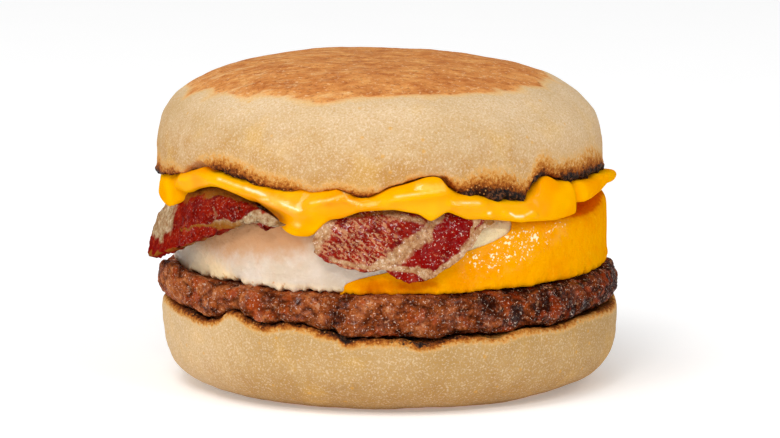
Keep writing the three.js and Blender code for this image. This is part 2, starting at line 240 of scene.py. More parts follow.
HEEL_RADIUS = 50.6
FOOT_RADIUS = 38.5
FOOT_CURVE = 3.1
HEEL_TOP = 17.0
HEEL_EDGE = [
    (-180, 19.2), (-160, 17.6), (-147, 17.0), (-132, 18.2), (-117, 19.4), (-100, 18.6),
    (-80, 19.8), (-68, 19.3), (-60, 18.9), (-54, 18.2), (-47.5, 19.0), (-44.5, 21.2), (-41, 21.5),
    (-38, 20.0), (-32, 18.9), (-27, 20.0), (-20, 19.7), (-17.5, 18.6), (-13, 18.4), (-11, 16.7),
    (-7, 17.5), (-2, 17.2), (2, 17.0), (8, 16.0), (11, 16.5), (15.5, 17.6), (21, 17.5), (24, 17.1),
    (29, 16.4), (34, 17.8), (40, 18.0), (48, 17.5), (54, 18.2), (63, 18.5), (76, 18.2), (88, 18.1),
    (104, 19.2), (120, 18.4), (133, 18.6), (146, 16.9), (160, 18.4),
]
HEEL_TOAST = [
    (-60, 22, 0.75), (-30, 14, 0.7), (-10, 9, 0.9), (14, 12, 0.8), (42, 12, 0.5),
    (75, 20, 0.55), (120, 22, 0.7), (165, 24, 0.6), (-150, 24, 0.7), (-108, 20, 0.7),
]
HEEL_REACH = 1.0
TOASTED_WIDTH = 2.0
HEEL_WARM = (14, 2)
HEEL_PAINTED_LIGHT = (-26, -46)
FOOT_BROWNED = (41, 36)
HEEL_BURNT = [(-12, 4, 0.5), (4, 8, 0.55), (27, 4, 0.4), (150, 9, 0.5), (-140, 9, 0.4)]


def apart(angle, middle):
    """Signed difference of two angles, between -180 and 180 degrees."""
    return (angle - middle + 540) % 360 - 180


def bumps(angle, listed):
    """Height that a list of round bumps, (middle, half-width, height), adds at an angle."""
    return sum(height * np.exp(-((apart(angle, middle) / width) ** 2))
               for middle, width, height in listed)


EVERY_ANGLE = np.arange(-180, 180, 0.25)


def edge_line(angle, listed, softness=0.8):
    """Height at an angle of an edge that runs through (angle, height) points all round."""
    heights = np.interp(EVERY_ANGLE, *np.array(listed).T, period=360)
    blur = np.exp(-((EVERY_ANGLE / softness) ** 2))
    smooth = np.fft.ifft(np.fft.fft(heights) * np.fft.fft(np.fft.ifftshift(blur / blur.sum()))).real
    return np.interp(angle, EVERY_ANGLE, smooth, period=360)


def ease(value, low, high):
    """A smooth step from 0, at low, to 1, at high."""
    part = np.clip((value - low) / (high - low), 0, 1)
    return part * part * (3 - 2 * part)


def between(start, end, part):
    return start + (end - start) * part


def uneven(angle, amount, seed):
    """Slow unevenness round a hand-made disc."""
    turn = np.radians(angle)
    return amount * (np.sin(3 * turn + seed) + 0.7 * np.sin(5 * turn + 2.3 * seed)
                     + 0.5 * np.sin(8 * turn + 3.1 * seed))


def polar(angle, radius, height):
    """Points round the upright axis."""
    turn = np.radians(angle)
    columns = (radius * np.sin(turn), -radius * np.cos(turn), height + 0 * turn)
    return np.stack(columns, axis=-1)


def plan(points):
    """The angles of points round the upright axis, and their distances from it."""
    side, front = points[:, 0], -points[:, 1]
    return np.degrees(np.arctan2(side, front)), np.hypot(side, front)


LATTICE = 32
SLOPES = np.random.default_rng(7).normal(size=(LATTICE, LATTICE, LATTICE, 3))
SLOPES /= np.linalg.norm(SLOPES, axis=-1, keepdims=True)


def lumps(points, size, seed=0, octaves=1):
    """Smooth noise, about -1 to 1, at points, its lumps about a size across."""
    total = 0
    for octave in range(octaves):
        spot = points / size * 2 ** octave + np.array([7.3, 3.1, 5.7]) * (seed + octave)
        cell = np.floor(spot).astype(int)
        part = spot - cell
        smooth = part * part * part * (part * (6 * part - 15) + 10)
        for corner in np.ndindex(2, 2, 2):
            weight = np.prod(np.where(corner, smooth, 1 - smooth), axis=1)
            slope = SLOPES[tuple(((cell + corner) % LATTICE).T)]
            total = total + 1.5 * weight * np.sum(slope * (part - corner), axis=1) / 2 ** octave
    return total


def points_of(piece):
    flat = np.empty(len(piece.data.vertices) * 3)
    piece.data.vertices.foreach_get("co", flat)
    return flat.reshape(-1, 3) / MM


def put(piece, points):
    piece.data.vertices.foreach_set("co", (points * MM).ravel())
    piece.data.update()


def push(piece, amount):
    """Move every point out along its normal."""
    normals = np.empty(len(piece.data.vertices) * 3)
    piece.data.vertex_normals.foreach_get("vector", normals)
    put(piece, points_of(piece) + normals.reshape(-1, 3) * np.reshape(amount, (-1, 1)))


def carry(piece, name, numbers):
    """Store a number at every point for the finish to read."""
    store = piece.data.attributes.new(name, "FLOAT", "POINT")
    store.data.foreach_set("value", np.asarray(numbers, dtype=np.float32))


def rows_of(counts):
    """Where each row lies along a profile, when each stretch of it gets a count of rows."""
    parts = [np.arange(count) / count + index for index, count in enumerate(counts)]
    return np.concatenate(parts + [[len(counts)]])


def four_near(points, place):
    """How far a place along points is past one of them, and the four that lie round it."""
    padded = np.concatenate([2 * points[:1] - points[1:2], points, 2 * points[-1:] - points[-2:-1]])
    index = np.clip(place.astype(int), 0, len(points) - 2)
    column = np.arange(padded.shape[1]) if padded.shape[1] > 1 else np.zeros(len(place), int)
    return (place - index)[:, None], [padded[index + step, column] for step in range(4)]


def rounded(profile, place):
    """A smooth curve drawn inside a profile of (radius, height) pairs, at places along it."""
    part, near = four_near(profile, place)
    weights = [(1 - part) ** 3, 3 * part ** 3 - 6 * part ** 2 + 4,
               -3 * part ** 3 + 3 * part ** 2 + 3 * part + 1, part ** 3]
    return sum(weight * point for weight, point in zip(weights, near)) / 6


CUTS = 7


def turned(name, counts, columns, profile_at):
    """A closed round piece. A point is extruded into a column, which is spun right round and
    cut finer both ways, and each point then goes to the profile of its angle."""
    rows = rows_of(counts)
    steps = round(len(rows) / (CUTS + 1))
    bpy.ops.object.select_all(action="DESELECT")
    bpy.ops.mesh.primitive_plane_add(size=1)
    piece = bpy.context.object
    piece.name = name
    bpy.ops.object.mode_set(mode="EDIT")
    bpy.ops.mesh.merge(type="CENTER")
    bpy.ops.transform.translate(value=(0, -1, 0))
    for _ in range(steps):
        bpy.ops.mesh.extrude_region_move(TRANSFORM_OT_translate={"value": (0, 0, 1)})
    bpy.ops.mesh.select_all(action="SELECT")
    bpy.ops.mesh.spin(steps=columns // (CUTS + 1), angle=math.tau, center=(0, 0, 0), axis=(0, 0, 1))
    bpy.ops.mesh.select_all(action="SELECT")
    bpy.ops.mesh.remove_doubles(threshold=0.0001)
    bpy.ops.mesh.subdivide(number_cuts=CUTS)
    bpy.ops.object.mode_set(mode="OBJECT")
    start = points_of(piece) * MM
    angle = np.degrees(np.arctan2(start[:, 0], -start[:, 1]))
    place = np.interp(start[:, 2] / steps, np.linspace(0, 1, len(rows)), rows)
    profile = [(radius + 0 * angle, height + 0 * angle) for radius, height in profile_at(angle)]
    profile = np.stack([np.stack(pair, axis=-1) for pair in profile])
    radius, height = rounded(profile, place).T
    put(piece, polar(angle, radius, height))
    tidied(piece)
    return piece


def tidied(piece):
    """Merge the points at the poles, turn every face outwards and shade it smooth."""
    bpy.ops.object.mode_set(mode="EDIT")
    bpy.ops.mesh.select_all(action="SELECT")
    bpy.ops.mesh.remove_doubles(threshold=0.000001)
    bpy.ops.mesh.normals_make_consistent(inside=False)
    bpy.ops.object.mode_set(mode="OBJECT")
    bpy.ops.object.shade_smooth()


def heel_edge(angle):
    return edge_line(angle, HEEL_EDGE)


def heel_profile(angle):
    edge = heel_edge(angle)
    edge = edge + 0.35 * lumps(polar(angle, HEEL_RADIUS, 0), 3.2, 1, 2)
    wall_heights = [0, 0.7, 1.8, 3.4, 5.6, 8.8, 12.5]
    wall = [(HEEL_RADIUS - (HEEL_RADIUS - FOOT_RADIUS) * math.exp(-height / FOOT_CURVE), height)
            for height in wall_heights]
    lip = [(0, edge - 2.6), (0, edge - 1.2), (-0.3, edge - 0.2), (-1.3, edge + 0.2),
           (-2.4, edge - 0.3), (-3.6, between(edge, HEEL_TOP, 0.5)), (-7.2, HEEL_TOP)]
    lip = [(HEEL_RADIUS + out, height) for out, height in lip]
    return [(0, 0), (16, 0), (30, 0), (36.5, 0)] + wall + lip + [(0, HEEL_TOP)]


def muffin_finish(piece, name, pale, deep, warm):
    """Floury baked dough that browns where the mesh says it is toasted, burnt or griddled."""
    finish = Finish(name, {"Specular IOR Level": 0.12}, (0.08, (1.0, 0.6, 0.3), 0.0015))
    mottle = finish.grain(4.0, 4, 0.62, 2.0)
    grit = finish.grain(0.45, 2, 0.75, 3.0)
    warmth = finish.level(mottle * 0.8 + finish.measure("warmth") * 0.5, 0.4, 0.95)
    golden = finish.grain(13, 3, 0.6, 9.0) + finish.measure("golden") * 0.2
    semolina = finish.level(finish.cells(4.5, 4.0), 0.13, 0.06)
    dough = finish.paint(
        deep,
        (finish.flecks(0.28, 0.68, 15, 3, 0.55, 1.0), pale),
        (warmth, warm),
        (finish.level(golden, 0.54, 0.72) * 0.4, (218, 172, 92)),
        # Paler where the mesh says: flour, and painted light on the lit parts.
        (finish.measure("flour_and_painted_light") * 0.4, (240, 212, 174)),
        (finish.level(grit, 0.50, 0.70) * 0.4, (248, 226, 196)),
        (finish.level(grit, 0.52, 0.28) * 0.5, (192, 140, 50)),
        (semolina * 0.5, (216, 156, 54)))

    griddle = finish.measure("griddle") + (finish.grain(6.0, 5, 0.7, 5.0, (2.2, 1, 1)) - 0.5) * 0.8
    skin = finish.grain(2.6, 5, 0.75, 6.0, (1.7, 1, 1)) * 0.7 + finish.grain(9, 3, 0.6, 14.0) * 0.3
    pits = finish.flecks(0.54, 0.68, 0.9, 3, 0.7, 10.0)
    flour = finish.flecks(0.56, 0.70, 1.1, 4, 0.7, 12.0)
    streaks = finish.flecks(0.52, 0.66, 2.6, 4, 0.7, 15.0, (3, 1, 1)) * finish.measure("streaky")
    brown = finish.paint(
        finish.ramp(skin + (griddle - 0.8) * 0.1, [
            (0.32, (240, 186, 116)), (0.43, (226, 156, 86)), (0.52, (210, 134, 68)),
            (0.62, (186, 108, 50)), (0.72, (158, 84, 38))]),
        (pits * 0.55, (136, 72, 32)),
        (flour * 0.65, (248, 210, 160)),
        (streaks * 0.6, (240, 196, 136)))

    toast = finish.measure("toast")
    crumb = finish.grain(0.9, 3, 0.75, 7.0)
    browned = toast * 1.15 + (crumb - 0.5) * 1.45 * finish.level(toast, 0.02, 0.3)
    crust = finish.ramp(browned, [
        (0.10, (226, 180, 112)), (0.32, (204, 138, 60)), (0.56, (168, 92, 28)),
        (0.80, (106, 50, 14)), (0.98, (42, 20, 10))])
    pale_crumb = finish.level(finish.cells(0.95, 13.0), 0.26, 0.10) * finish.level(toast, 0.15, 0.5)
    burnt = finish.measure("burnt") + (finish.grain(1.8, 4, 0.75, 11.0) - 0.5) * 1.8
    coal = finish.mix(finish.level(crumb, 0.46, 0.66), (22, 17, 16), (112, 70, 44))
    dough = finish.paint(
        dough,
        (finish.level(griddle, 0.10, 0.42) * 0.5, (236, 182, 102)),
        (finish.level(griddle, 0.32, 0.58), brown),
        (finish.level(browned, 0.05, 0.26), crust),
        (pale_crumb * 0.6, (236, 172, 96)),
        (finish.level(burnt, 0.40, 0.56), coal))
    roughness = finish.level(burnt + toast * 0.3, 0.2, 0.9, 0.85, 0.45)
    relief = (grit * 0.13 + mottle * 0.12 + griddle * -0.12
              + skin * finish.level(griddle, 0.4, 0.6) * 0.3
              + finish.level(toast, 0.05, 0.4) * crumb * 0.7)
    finish.cover(piece, dough, roughness, relief)


def toasted(piece, above_edge, toast, reach, burnt):
    """Crumble the toasted edge of a muffin half, and store how far each point browned."""
    points = points_of(piece)
    above = np.maximum(above_edge, 0)
    near = np.exp(-((above / reach) ** 1.3))
    charred = np.clip(np.exp(-((above / (0.62 * reach)) ** 3)) * burnt, 0, 1.3)
    crumbs = 0.4 * lumps(points, 1.5, 3, 2) + 0.28 * lumps(points, 0.85, 4)
    crust = charred * (0.5 + 1.0 * lumps(points, 2.1, 8, 3) + 0.5 * lumps(points, 0.9, 9))
    skin = 0.3 * lumps(points * (0.5, 0.5, 1), 6, 5, 2) + 0.06 * lumps(points, 2.0, 6)
    push(piece, crumbs * near * np.clip(toast, 0.2, 1) + crust + skin)
    carry(piece, "toast", np.clip(near * toast, 0, 1))
    carry(piece, "burnt", charred)


heel_counts = [3, 3, 3, 3, 5, 5, 6, 7, 9, 10, 10, 5, 4, 4, 4, 4, 4, 5, 5]
heel = turned("heel", heel_counts, 640, heel_profile)
points = points_of(heel)
angle, radius = plan(points)
x, _, z = points.T
inside = (radius < HEEL_RADIUS - TOASTED_WIDTH) & (z > HEEL_TOP - TOASTED_WIDTH)
depth = np.where(inside, 0, heel_edge(angle) - z)
toasted(heel, depth, bumps(angle, HEEL_TOAST), HEEL_REACH, bumps(angle, HEEL_BURNT))
carry(heel, "griddle", ease(radius, *FOOT_BROWNED) * ease(z, 2.0, 0.5))
carry(heel, "warmth", ease(z, *HEEL_WARM))
# The heel is painted paler towards its left, as light falling from the left.
carry(heel, "flour_and_painted_light", 0.9 * ease(x, *HEEL_PAINTED_LIGHT))
settled = points_of(heel)
settled[:, 2] = np.maximum(settled[:, 2], 0)
put(heel, settled)
muffin_finish(heel, "muffin_heel_dough", (192, 157, 107), (178, 142, 90), (170, 130, 79))
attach(heel, "root")
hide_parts("muffin_heel")


# Sausage patty: coarsely minced pork pressed into a thin disc and fried, so that its rim
# is all glistening brown lumps, with cracks between them painted dark as shade. It lies on
# the heel and curls up on the left.

PATTY_SHIFT = -0.5
PATTY_RADIUS = 50.6
PATTY_BOTTOM = 17.0
PATTY_TOP = 26.9
PATTY_CURL = [(-70, 16, 3.0)]


def patty_profile(angle):
    bottom = np.maximum(PATTY_BOTTOM, heel_edge(angle) + 0.2)
    curl = bumps(angle, PATTY_CURL)
    lump = uneven(angle, 0.3, 4)
    rim = [
        (-3.6, bottom), (-1.6, bottom + 0.5), (-0.5, bottom + 1.4), (0, bottom + 2.6), (0.2, 22.4),
        (curl * 0.2, 24.2 + curl * 0.6), (curl * 0.25 - 0.7, 25.7 + curl),
        (curl * 0.1 - 1.6, 26.1 + curl), (-2.8, 26.1 + curl * 0.3),
    ]
    rim = [(PATTY_RADIUS + out + lump, height) for out, height in rim]
    return [(0, PATTY_BOTTOM), (30, PATTY_BOTTOM), (42, PATTY_BOTTOM)] + rim + [
        (PATTY_RADIUS - 4.6, PATTY_TOP), (PATTY_RADIUS - 10, PATTY_TOP), (0, PATTY_TOP)]


def facing_gloss(points):
    """How glossy a greasy piece is round its rim: drier on its left and right sides."""
    sideways = np.abs(points[:, 0]) / plan(points)[1].clip(1)
    return 1 - 0.85 * ease(sideways, 0.80, 0.92)


def minced(points, size, seed):
    """Soft lumps of mince, 0 in the cracks between them and about 1 at their tops."""
    bend = np.stack([lumps(points, size * 1.4, seed + k, 2) for k in (1, 2, 3)], axis=-1)
    return np.minimum(2.4 * np.abs(lumps(points + 0.35 * size * bend, size, seed)), 1.2)


patty = turned("patty", [3, 3, 4, 6, 6, 7, 8, 9, 9, 9, 7, 6, 5, 3, 3], 720, patty_profile)
points = points_of(patty)
points[:, 0] += PATTY_SHIFT
put(patty, points)
stretched = points * (0.75, 0.75, 1.3)
coarse = minced(stretched, 6.0, 11)
fine = minced(stretched, 2.6, 15)
crumb = lumps(points, 1.1, 19, 2)
rim_mask = ease(plan(points)[1], 44, 47)
broad = 0.6 * lumps(points, 11, 21)
calm = 1 - 0.5 * ease(points[:, 0], -26, -40)
push(patty, rim_mask * (broad + 0.42 * calm * (coarse - 0.5) + 0.3 * calm * (fine - 0.5)
                        + 0.24 * crumb))
# Painted shade: the recesses between the lumps are darkened.
carry(patty, "painted_crack_shade", np.clip(0.9 - 2.2 * coarse, 0, 1) * np.clip(1.2 - 1.2 * fine, 0, 1))
carry(patty, "gloss", facing_gloss(points))
carry(patty, "lump", np.clip(coarse * 0.5 + fine * 0.5, 0, 1))
carry(patty, "shaded", 0.65 + 1.15 * ease(points[:, 0], 0, 40) - 0.2 * ease(points[:, 0], -15, -40))
finish = Finish("fried_sausage", {"Specular IOR Level": 0.01, "Coat Roughness": 0.16},
                (0.05, (1.0, 0.3, 0.1), 0.001))
painted_crack_shade = finish.measure("painted_crack_shade")
tone = (finish.grain(4.5, 4, 0.68, 1.0) * 0.75 + finish.grain(0.9, 3, 0.7, 6.0) * 0.4
        + finish.measure("lump") * 0.1 - finish.measure("shaded") * 0.12)
rusty = finish.flecks(0.54, 0.66, 5.0, 3, 0.6, 7.0)
fat = finish.flecks(0.60, 0.70, 1.5, 3, 0.65, 2.0)
# Painted glints: tiny pale specks on the mince.
painted_glitter = finish.flecks(0.60, 0.70, 0.5, 2, 0.8, 9.0)
pits = finish.flecks(0.44, 0.32, 0.8, 3, 0.75, 10.0)
meat = finish.paint(
    finish.ramp(tone, [
        (0.38, (46, 14, 4)), (0.46, (92, 38, 14)), (0.55, (136, 64, 26)),
        (0.65, (174, 94, 46)), (0.78, (214, 146, 92))]),
    (rusty * 0.5, (176, 64, 16)), (fat * 0.6, (206, 148, 108)), (painted_glitter * 0.75, (250, 222, 198)),
    # Painted shade in the cracks.
    (pits * 0.6, (50, 16, 6)), (painted_crack_shade * 0.7, (42, 14, 5)))
greasy = finish.flecks(0.46, 0.60, 2.6, 4, 0.7, 3.0) * finish.measure("gloss") * 0.5 * (1 - painted_crack_shade)
rough = finish.level(finish.grain(2.2, 3, 0.6, 3.0), 0.38, 0.62, 0.2, 0.5)
relief = finish.grain(0.8, 3, 0.75, 4.0) * 0.8 + finish.grain(2.0, 2, 0.5, 5.0) * 0.4
finish.cover(patty, meat, rough, relief, greasy)
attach(patty, "root")
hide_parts("sausage_patty")


# Egg: one egg cooked in a ring, a disc of set white whose yolk has run to the right-hand
# side. The disc is turned once for each part, and the room that the yolk takes is cut out of
# one and kept of the other.

EGG_RADIUS = 47.8
EGG_BOTTOM = 26.9
EGG_TOP = 42.4
EGG_ROUND = 3.0
EGG_TEETH = [(-66, 5, 0.9), (-58, 4, -0.8), (-50, 4, 0.8), (-44, 3, -0.6), (-36, 4, 0.5)]
EGG_DROOP = [(66, 17, 1.7)]
YOLK_MIDDLE = (40.0, -22.0)
YOLK_HALF_WIDTH = (57.0, 15.5)
YOLK_HALF_DEPTH = (52.0, 40.0)
YOLK_SLOPE = (28.0, 40.0)


def egg_profile(angle):
    radius = EGG_RADIUS + uneven(angle, 0.2, 2)
    around = polar(angle, radius, 0)
    foot = EGG_BOTTOM + (0.3 + 0.6 * ease(angle, 0, -20)) * lumps(around, 2.3, 35, 3)
    spread = bumps(angle, EGG_TEETH) * 0.5 + 0.7 * lumps(around, 2.1, 36, 2)
    droop = bumps(angle, EGG_DROOP)
    corner = [(radius - EGG_ROUND * (1 - math.cos(math.radians(turn))),
               EGG_TOP - droop - EGG_ROUND * (1 - math.sin(math.radians(turn))))
              for turn in (0, 15, 30, 45, 60, 75, 90)]
    return [
        (0, EGG_BOTTOM), (30, EGG_BOTTOM), (42, EGG_BOTTOM), (radius - 2.4, foot),
        (radius - 0.6 + spread, foot), (radius + 0.1 + spread, foot + 0.7), (radius, foot + 2.2),
        (radius - 0.1, foot + 4.5), (radius, 34), (radius, 36.5),
    ] + corner + [(radius - 8, EGG_TOP - 0.4 * droop), (34, EGG_TOP), (0, EGG_TOP)]


def yolk_room_profile(angle):
    return [(0, 24)] + [(1, height) for height in range(24, 47)] + [(0, 46)]


def yolk_room(grow):
    """The room of the yolk: wide at the bottom and drawn in to the right at the top."""
    room = turned("yolk_room", [1] + [2] * 22 + [1], 240, yolk_room_profile)
    points = points_of(room)
    open_part = (np.hypot(points[:, 0], points[:, 1]) > 1e-6).astype(float)
    narrowing = ease(points[:, 2], *YOLK_SLOPE)
    turn = np.arctan2(points[:, 0], -points[:, 1])
    half_width = between(*YOLK_HALF_WIDTH, narrowing) + grow
    half_depth = between(*YOLK_HALF_DEPTH, narrowing) + grow
    wobble = 0.5 * lumps(points, 5, 31, 2) + 0.4 * lumps(points, 1.9, 33)
    points[:, 0] = YOLK_MIDDLE[0] + open_part * (half_width + wobble) * np.sin(turn)
    points[:, 1] = YOLK_MIDDLE[1] - open_part * (half_depth + wobble) * np.cos(turn)
    put(room, points)
    return room


def shape_with(piece, kind, **settings):
    """Give a piece a modifier with its settings, and apply it."""
    bpy.ops.object.select_all(action="DESELECT")
    piece.select_set(True)
    bpy.context.view_layer.objects.active = piece
    modifier = piece.modifiers.new("shaping", kind)
    for name, value in settings.items():
        setattr(modifier, name, value)
    bpy.ops.object.modifier_apply(modifier="shaping")


def cut(piece, room, operation):
    """Cut a room out of a piece, or keep only what lies in it, and remove the cutter."""
    shape_with(piece, "BOOLEAN", operation=operation, solver="MANIFOLD", object=room)
    bpy.data.objects.remove(room)
    bpy.ops.object.shade_smooth_by_angle(angle=math.radians(50))


def near_line(points, start, end, half_width, strength=1.0):
    """A line drawn on the front of a piece, in (x, z): its strength on it, and 0 beside it
    and at the back."""
    start, end = np.array(start, float), np.array(end, float)
    spot = points[:, [0, 2]] - start
    part = np.clip(spot @ (end - start) / np.sum((end - start) ** 2), 0, 1)
    away = np.linalg.norm(spot - part[:, None] * (end - start), axis=1)
    return strength * (np.exp(-((away / half_width) ** 2)) * ease(points[:, 1], 6, -6))


def drawn(points, lines):
    """Several such lines at once."""
    return np.maximum.reduce([near_line(points, *line) for line in lines])


egg_counts = [2, 2, 3, 4, 4, 4, 4, 6, 6, 5, 3, 3, 3, 3, 3, 3, 3, 2, 3]
white = turned("egg_white_part", egg_counts, 600, egg_profile)
points = points_of(white)
push(white, 0.28 * lumps(points, 9, 41, 2) + 0.06 * lumps(points, 2.5, 42))
cut(white, yolk_room(-0.02), "DIFFERENCE")
points = points_of(white)
carry(white, "buttery", np.clip(0.6 * ease(points[:, 2], 29.5, 27.5)
                                + near_line(points, (-48, 35), (-38, 28), 4), 0, 1))
carry(white, "foot", ease(points[:, 2], 30.5, 27.5) * (points[:, 0] < 10))
# Painted shade: tan on the white just under the left rasher.
carry(white, "painted_shade_under_bacon", near_line(points, (-42, 36), (-21, 39.5), 5.2))
# Painted light: the left tip of the white is lightened where the bacon shades it.
carry(white, "painted_light_left_tip", near_line(points, (-50, 35.5), (-44, 31.5), 3.5))
carry(white, "creamy", near_line(points, (17, 36), (27, 41), 5))
finish = Finish("set_egg_white", {"Specular IOR Level": 0.1}, (0.35, (1.0, 0.8, 0.6), 0.0015))
foot = finish.measure("foot")
blotched = (finish.grain(2.4, 4, 0.65, 6.0) - 0.5) * 0.8
singed = finish.level(finish.grain(1.7, 3, 0.6, 8.0) + foot * 0.1, 0.66, 0.76)
cream = finish.paint(
    (226, 209, 191),
    (finish.flecks(0.35, 0.7, 7, 3, 0.6, 1.0), (218, 197, 172)),
    (finish.flecks(0.52, 0.70, 1.2, 3, 0.65, 2.0) * 0.22, (250, 236, 218)),
    (finish.level(finish.measure("buttery") + blotched, 0.1, 1.0) * 0.8, (255, 222, 168)),
    # Painted shade under the bacon.
    (finish.level(finish.measure("painted_shade_under_bacon") + blotched, 0.0, 0.95) * 0.85, (208, 146, 88)),
    # Painted light on the left tip.
    (finish.measure("painted_light_left_tip") * 0.75, (255, 238, 212)),
    (finish.measure("creamy") * 0.9, (255, 228, 178)),
    (singed * foot * 0.8, (206, 126, 48)))
finish.cover(white, cream, finish.grain(3, 3, 0.6, 3.0) * 0.35 + 0.15,
             finish.grain(2.2, 5, 0.68, 4.0) * 0.7 + finish.cells(1.3, 5.0) * 0.14)
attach(white, "root")
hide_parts("egg_white")


def yolk_wetness(points):
    """Where the yolk is beaded with fat, on the front to the right of the bacon, and where glints
    are painted on it.
    """
    low = near_line(points, (19, 33), (27, 36), 4.4)
    high = near_line(points, (27, 36), (36, 38), 3.0, 0.75)
    return np.clip(low + high, 0, 1)


yolk = turned("egg_yolk_part", egg_counts, 600, egg_profile)
points = points_of(yolk)
beads = (0.15 * yolk_wetness(points) + 0.03) * lumps(points, 1.3, 46, 2)
push(yolk, 0.25 + 0.22 * lumps(points, 10, 43, 2) + 0.05 * lumps(points, 2.2, 44) + beads)
cut(yolk, yolk_room(0.0), "INTERSECT")
points = points_of(yolk)
carry(yolk, "wet", yolk_wetness(points))
rim_height = points[:, 2] + bumps(plan(points)[0], EGG_DROOP) + 0.4 * lumps(points, 3, 45, 2)
# Painted shadow of the bacon: dark orange along the yolk's foot, stored with its darker top rim as
# singed.
painted_bacon_shadow = near_line(points, (-5, 28.3), (9, 29), 2.2, 0.55)
carry(yolk, "singed", np.maximum(ease(rim_height, 40.8, 42.2), painted_bacon_shadow))
finish = Finish("set_egg_yolk", {"Specular IOR Level": 0.0, "Coat Roughness": 0.14},
                (0.15, (1.0, 0.4, 0.02), 0.0015))
wet = finish.measure("wet")
browned = finish.measure("singed") + (finish.grain(3, 4, 0.7, 14.0) - 0.5) * 0.8
crowded = finish.grain(3.2, 2, 0.6, 13.0) * 0.35 + wet * 0.12
# Painted glints: small near-white spots where the yolk is wet.
painted_glints = finish.level(finish.grain(0.7, 2, 0.65, 12.0) * 0.65 + crowded, 0.675, 0.71)
gold = finish.paint(
    (250, 166, 0),
    (finish.flecks(0.35, 0.7, 8, 3, 0.6, 1.0), (244, 152, 0)),
    (finish.flecks(0.55, 0.72, 1.1, 3, 0.65, 2.0) * 0.4, (255, 186, 30)),
    (finish.flecks(0.55, 0.72, 1.3, 3, 0.65, 7.0) * 0.3, (222, 124, 0)),
    # The singed coat: the darker top rim, and the painted shadow of the bacon along the foot.
    (finish.level(browned, 0.1, 0.8) * 0.85, (206, 90, 0)),
    (painted_glints * finish.level(wet, 0.1, 0.5), (255, 242, 196)))
beaded = finish.flecks(0.40, 0.56, 2.4, 3, 0.7, 8.0)
finish.cover(yolk, gold, finish.grain(3, 2, 0.5, 9.0) * 0.2 + 0.3,
             finish.grain(1.5, 3, 0.62, 4.0) * 0.24 + finish.grain(0.7, 2, 0.6, 5.0) * 0.1,
             finish.level(wet, 0.1, 0.6, 0.0, 0.28) * beaded)
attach(yolk, "root")
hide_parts("egg_yolk")


# Bacon: two rashers of back bacon, fried soft, each lying on the egg with one end hanging
# over its rim. A rasher starts as a grid whose points follow curves from its hidden end to
# its free edge, and gets its thickness last.

RASHER_HALF = 0.9
RASHER_LEVEL = EGG_TOP + 0.2 + RASHER_HALF
RASHER_ACROSS = 190
RASHER_ALONG = 120
HANGING_START = 0.1


def spline(points, place):
    """A smooth curve through points, one curve for each column, at places along it."""
    part, (a, b, c, d) = four_near(points, place)
    first, middle, last = [np.maximum(np.linalg.norm(end - start, axis=1), 1e-6)[:, None] ** 0.5
                           for start, end in ((a, b), (b, c), (c, d))]
    out = ((b - a) / first - (c - a) / (first + middle) + (c - b) / middle) * middle
    into = ((c - b) / middle - (d - b) / (middle + last) + (d - c) / last) * middle
    return (b + out * part + (3 * (c - b) - 2 * out - into) * part ** 2
            + (2 * (b - c) + out + into) * part ** 3)


def rasher(name, rim, back, crest, shoulder, edge, seed):
    """A rasher with its points placed across and along it, given its thickness at the end."""
    bpy.ops.object.select_all(action="DESELECT")
    bpy.ops.mesh.primitive_grid_add(
        x_subdivisions=RASHER_ACROSS, y_subdivisions=RASHER_ALONG, size=1)
    piece = bpy.context.object
    piece.name = name
    start = points_of(piece) * MM
    across = start[:, 0] + 0.5
    along = start[:, 1] + 0.5
    border = np.array(edge, dtype=float)[:, None, :]
    edge_angle, edge_height, edge_radius = spline(border, across * (len(edge) - 1)).T
    spot = polar(edge_angle, 50, edge_height)
    edge_height = edge_height + 0.45 * lumps(spot, 2.3, seed + 5, 2)
    edge_angle = edge_angle + 0.5 * lumps(spot, 2.6, seed + 6, 2)
    rim_angle = between(*rim, across)
    level, middle, width, rise = crest
    crest_height = level + bumps(rim_angle, [(middle, width, rise)])
    ripple = 0.25 * np.sin(across * 5 * math.pi) + 0.35 * lumps(start * (5, 0, 0), 1, seed)
    behind = polar(between(*back, across), EGG_RADIUS - 0.8, RASHER_LEVEL - 0.3)
    over_rim = polar(rim_angle, EGG_RADIUS - 4.5, between(RASHER_LEVEL, crest_height, 0.3))
    flat = (1, 1, 0)
    path = np.stack([
        behind,
        between(behind, over_rim, 0.08) * flat + (0, 0, RASHER_LEVEL),
        between(behind, over_rim, 0.88) * flat + (0, 0, RASHER_LEVEL),
        over_rim,
        polar(rim_angle, EGG_RADIUS - 1.2, crest_height),
        polar(between(rim_angle, edge_angle, 0.3), shoulder + ripple,
              between(crest_height, edge_height, 0.34) - 0.4),
        polar(between(rim_angle, edge_angle, 0.7), between(shoulder, edge_radius, 0.6) + ripple,
              between(crest_height, edge_height, 0.7)),
        polar(edge_angle, edge_radius, edge_height),
    ])
    place = np.interp(along, [0, HANGING_START, 1], [0, 2.7, 7])
    put(piece, spline(path, np.minimum(place, 6.9999)))
    thickened(piece, seed + 1)
    return piece


def thickened(piece, seed):
    """Crinkle a rasher, give it its thickness and soften its cut edges."""
    points = points_of(piece)
    push(piece, 0.35 * lumps(points, 7, seed) + 0.22 * lumps(points, 3, seed + 1))
    shape_with(piece, "SOLIDIFY", thickness=2 * RASHER_HALF * MM, offset=0.0)
    shape_with(piece, "BEVEL", width=0.55 * MM, segments=3, angle_limit=math.radians(50))
    bpy.ops.object.shade_smooth()
    points = points_of(piece)
    push(piece, 0.17 * lumps(points, 1.7, seed + 2) + 0.1 * lumps(points, 0.85, seed + 3))


